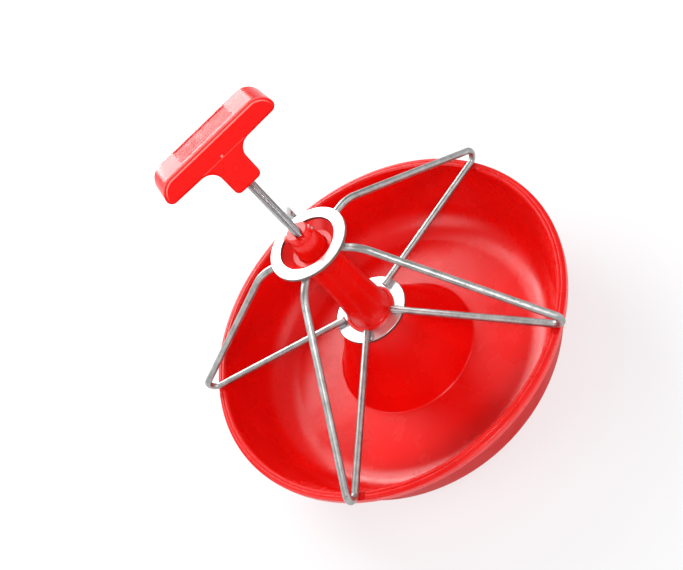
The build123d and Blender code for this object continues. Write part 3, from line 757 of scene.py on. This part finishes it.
# ------------------------------------------------------------------ collar, pin, handle
collar = soften("spring_collar", "collar_moulding", 0.22, 4)
give(collar, M_COLLAR, "rod_group", "collar_plastic", "spring_collar")

pin = lathe("collar_spring_pin", rounded([(0.62, -9.6, 0.15), (0.95, -9.95, 0.15), (1.2, -9.55, 0.2), (1.2, 9.55, 0.2), (0.95, 9.95, 0.15), (0.62, 9.6, 0.15)], seg=3),
            32, sharp=40, axis="x")
pin.data.transform(Matrix.Translation((0, 0, 0.1604)) @ Matrix.Rotation(PIN_AZ, 4, "Z"))
give(pin, M_PIN, "rod_group", "pin_steel", "collar_pin")

handle = soften("t_handle", "handle_moulding", 0.22, 2)
# looks only: the floor of the panel in the top is 0.4 mm down here and 0.7 mm in the CAD
hca, hsa = math.cos(HANDLE_AZ), math.sin(HANDLE_AZ)
for v in handle.data.vertices:
    hx, hy = v.co.x * hca + v.co.y * hsa, v.co.y * hca - v.co.x * hsa
    if abs(hx + 0.0002) < 0.0186 and abs(hy - 0.0003) < 0.0074 and 0.2495 < v.co.z < 0.25112:
        v.co.z = 0.25112
give(handle, M_HANDLE, "rod_group", "handle_plastic", "t_handle")

# ------------------------------------------------------------------ spring, closed ends
def spring_mesh(name, z0, z1, rm, rw, coils):
    n = 720
    t = np.linspace(0, 1, n)
    dead = 0.09
    f = np.interp(t, [0, dead, 1 - dead, 1], [0.0, 0.0, 1.0, 1.0])
    lift = np.interp(t, [0, dead, 1 - dead, 1], [0.0, 2.2 * rw, z1 - z0 - 2 * rw - 2.2 * rw, z1 - z0 - 2 * rw])
    ang = 2 * math.pi * (coils + 2) * t
    P = np.stack([rm * np.cos(ang), rm * np.sin(ang), z0 + rw + lift], -1)
    T = np.gradient(P, axis=0)
    T /= np.linalg.norm(T, axis=1)[:, None]
    out = np.stack([np.cos(ang), np.sin(ang), np.zeros(n)], -1)
    B = np.cross(T, out)
    B /= np.linalg.norm(B, axis=1)[:, None]
    N = np.cross(B, T)
    seg = 12
    verts, faces, uvs = [], [], []
    for i in range(n):
        for j in range(seg):
            a = 2 * math.pi * j / seg
            p = P[i] + rw * (math.cos(a) * N[i] + math.sin(a) * B[i])
            p[2] = min(max(p[2], z0), z1)
            verts.append(p)
    for i in range(n - 1):
        for j in range(seg):
            j2 = (j + 1) % seg
            faces.append((i * seg + j, i * seg + j2, (i + 1) * seg + j2, (i + 1) * seg + j))
            uvs += [(j / seg, i * 0.01), ((j + 1) / seg, i * 0.01), ((j + 1) / seg, i * 0.01 + 0.01), (j / seg, i * 0.01 + 0.01)]
    for base in (0, (n - 1) * seg):
        faces.append(tuple(base + j for j in range(seg)))
        uvs += [(0, 0)] * seg
    ob = make(name, verts, faces, 60, uvs)
    fix_normals(ob)
    return ob


spring = spring_mesh("spring_coil", 71.4, 131.6, 8.2, 1.0, 8.0)
give(spring, M_SPRING, "feeder", "spring_steel", "compression_spring")
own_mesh(spring)

# ------------------------------------------------------------------ carried-over hardware
for n in ("lower_spring_seat", "upper_spring_seat", "handle_nut", "stop_washer", "stop_nut", "anchor_bar", "anchor_nuts"):
    paint(n, M_HARD)
    bv = nodes[n].modifiers.new("edges", "BEVEL")
    bv.width = 0.00025
    bv.segments = 2
    bv.limit_method = "ANGLE"
    bv.angle_limit = math.radians(40)

# ------------------------------------------------------------------ floor
floor_me = bpy.data.meshes.new("floor")
floor_me.from_pydata([(-30, -30, -0.0004), (30, -30, -0.0004), (30, 30, -0.0004), (-30, 30, -0.0004)], [], [(0, 1, 2, 3)])
floor = link(bpy.data.objects.new("floor", floor_me))
ft = NT("floor_pale")
fco = ft.coord()
fn = ft.noise(fco, 3.0, 3.0)
fx, fy, fz = ft.xyz(fco)
fr = ft.math("SQRT", ft.math("ADD", ft.math("MULTIPLY", fx, fx), ft.math("MULTIPLY", fy, fy)))
ft.set("Base Color", ft.mix(fn, (0.34, 0.34, 0.34), (0.37, 0.37, 0.37)))
ft.set("Roughness", 0.6)
ft.set("Specular IOR Level", 0.2)
ft.set("Emission Color", (0.98, 0.985, 1.0, 1.0))
ft.set("Emission Strength", ft.remap(fr, 0.30, 1.2, 0.60, 1.0))
floor.data.materials.append(ft.m)

# ------------------------------------------------------------------ camera
EL, ROLL, AZ = math.radians(46.21), math.radians(-45.35), math.radians(-90.0 + 5.42)
DIST, OX, OY = 0.46299, -0.01677, -0.00049
FPX, CX, CY = 630.5, 346.86, 308.97
back = Vector((math.cos(EL) * math.cos(AZ), math.cos(EL) * math.sin(AZ), math.sin(EL)))
fwd = -back
right0 = fwd.cross(Vector((0, 0, 1))).normalized()
up0 = right0.cross(fwd)
right = right0 * math.cos(ROLL) + up0 * math.sin(ROLL)
up = up0 * math.cos(ROLL) - right0 * math.sin(ROLL)
cam_data = bpy.data.cameras.new("camera")
cam_data.sensor_fit = "HORIZONTAL"
cam_data.sensor_width = 36.0
cam_data.lens = FPX / 683.0 * 36.0
cam_data.shift_x = (341.5 - CX) / 683.0
cam_data.shift_y = (CY - 285.0) / 683.0
cam_data.clip_start, cam_data.clip_end = 0.01, 60.0
cam = link(bpy.data.objects.new("camera", cam_data))
pos = back * DIST + right * OX + up * OY + Vector((0, 0, 0.065))
cam.matrix_world = Matrix(((right.x, up.x, back.x, pos.x), (right.y, up.y, back.y, pos.y), (right.z, up.z, back.z, pos.z), (0, 0, 0, 1)))
bpy.context.scene.camera = cam


# ------------------------------------------------------------------ light
def area(name, loc, target, size, power, color=(1, 1, 1)):
    ld = bpy.data.lights.new(name, "AREA")
    ld.shape = "RECTANGLE"
    ld.size, ld.size_y = size
    ld.energy = power
    ld.color = color
    ob = link(bpy.data.objects.new(name, ld))
    ob.location = loc
    ob.rotation_mode = "QUATERNION"
    ob.rotation_quaternion = (Vector(target) - Vector(loc)).to_track_quat("-Z", "Y")
    return ob


def polar_area(name, az, el, dist, size, power, color=(1, 1, 1), target=(0, 0, 0.08)):
    a, e = math.radians(az), math.radians(el)
    loc = (target[0] + dist * math.cos(e) * math.cos(a), target[1] + dist * math.cos(e) * math.sin(a), target[2] + dist * math.sin(e))
    return area(name, loc, target, size, power, color)


polar_area("key", -86.4, 49.0, 1.6, (0.256, 0.256), 10.2, target=(0, 0, 0.06))
polar_area("softbox_back_low", 95.0, 24.5, 1.2, (0.85, 0.32), 11.0)
polar_area("softbox_back_high", 97.0, 42.5, 1.2, (0.70, 0.32), 3.7)
polar_area("softbox_left", 178.0, 38.0, 1.2, (0.7, 0.7), 3.5)
polar_area("softbox_right", -35.0, 35.0, 1.3, (0.7, 0.7), 3.2)
world = bpy.data.worlds.new("studio")
world.use_nodes = True
bg = world.node_tree.nodes["Background"]
bg.inputs[0].default_value = (1.0, 1.0, 1.0, 1)
# a pale horizon below a dimmer ceiling
wt = world.node_tree
wc = wt.nodes.new("ShaderNodeTexCoord")
wx = wt.nodes.new("ShaderNodeSeparateXYZ")
wm = wt.nodes.new("ShaderNodeMapRange")
for i, v in enumerate((0.10, 0.24, 1.0, 0.32)):
    wm.inputs[i + 1].default_value = v
wt.links.new(wc.outputs["Generated"], wx.inputs[0])
wt.links.new(wx.outputs[2], wm.inputs[0])
wt.links.new(wm.outputs[0], bg.inputs[1])
bpy.context.scene.world = world
bpy.context.scene.view_settings.view_transform = "Standard"
bpy.context.scene.view_settings.look = "None"
